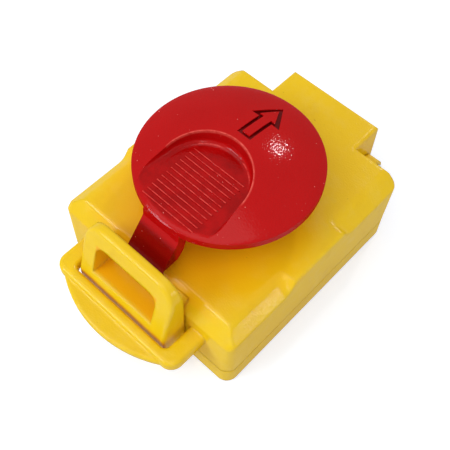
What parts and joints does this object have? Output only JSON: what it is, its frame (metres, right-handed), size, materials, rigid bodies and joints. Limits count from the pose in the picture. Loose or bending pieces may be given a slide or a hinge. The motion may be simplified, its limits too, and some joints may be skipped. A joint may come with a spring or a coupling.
{
  "type": "covered emergency stop button",
  "caption": "Flap-type emergency stop: hinged lid with padlock hasp over a start and stop contact block, worked by a sliding red slap head with thumb recess.",
  "frame": {"origin": "centre of the four panel screw holes, on the underside of the base, under the head's axis", "axes": "+Z out of the panel along the head's axis, +Y from the padlock hasp to the hinge, +X across"},
  "size_m": [0.0756, 0.1171, 0.0565],
  "materials": {
    "yellow_plastic": "fine spark-eroded moulding",
    "red_plastic": "fine spark-eroded moulding",
    "black_plastic": "satin",
    "grey_plastic": "satin",
    "stop_red": "gloss",
    "start_green": "gloss",
    "rubber_pad": "matt",
    "zinc_steel": "zinc plated",
    "spring_steel": "drawn wire",
    "brass": "stamped"
  },
  "bodies": {
    "base": {"base_tray": "yellow_plastic", "hinge_pin": "zinc_steel", "pin_clips": "zinc_steel", "switch_housing": "black_plastic", "switch_cover": "grey_plastic", "switch_screws": "zinc_steel", "fixed_contacts": "brass", "terminal_screws": "zinc_steel"},
    "lid": {"lid_shell": "yellow_plastic", "guide_plate": "black_plastic", "guide_screws": "zinc_steel"},
    "slide": {"slide_carriage": "black_plastic", "dust_plate": "black_plastic", "latch_springs": "spring_steel"},
    "head": {"slap_head": "red_plastic", "head_stem": "black_plastic", "stem_pin": "zinc_steel", "stem_clip": "zinc_steel", "pusher_pad": "rubber_pad", "return_spring": "spring_steel"},
    "stop": {"stop_button": "stop_red", "stop_bridge": "brass", "stop_spring": "spring_steel"},
    "start": {"start_button": "start_green", "start_bridge": "brass", "start_spring": "spring_steel"}
  },
  "joints": [
    {"name": "lid_hinge", "type": "hinge", "parent": "base", "child": "lid", "pos_m": [0, 0.0507, 0.014], "axis": [-1, 0, 0], "range_deg": [0, 100]},
    {"name": "latch_slide", "type": "slide", "parent": "lid", "child": "slide", "axis": [0, 1, 0], "range_m": [-0.0026, 0.0006], "stiffness_N_per_m": 600, "springref_m": -0.006, "deforming": ["latch_springs"]},
    {"name": "head_press", "type": "slide", "parent": "slide", "child": "head", "axis": [0, 0, -1], "range_m": [0, 0.0025], "stiffness_N_per_m": 1500, "springref_m": -0.004, "deforming": ["return_spring"]},
    {"name": "stop_press", "type": "slide", "parent": "base", "child": "stop", "axis": [0, 0, -1], "range_m": [0, 0.0025], "stiffness_N_per_m": 600, "springref_m": -0.002, "deforming": ["stop_spring"]},
    {"name": "start_press", "type": "slide", "parent": "base", "child": "start", "axis": [0, 0, -1], "range_m": [0, 0.0025], "stiffness_N_per_m": 600, "springref_m": -0.002, "deforming": ["start_spring"]}
  ],
  "couplings": [
    {"joint": "stop_press", "follows": "head_press", "ratio": 1}
  ]
}
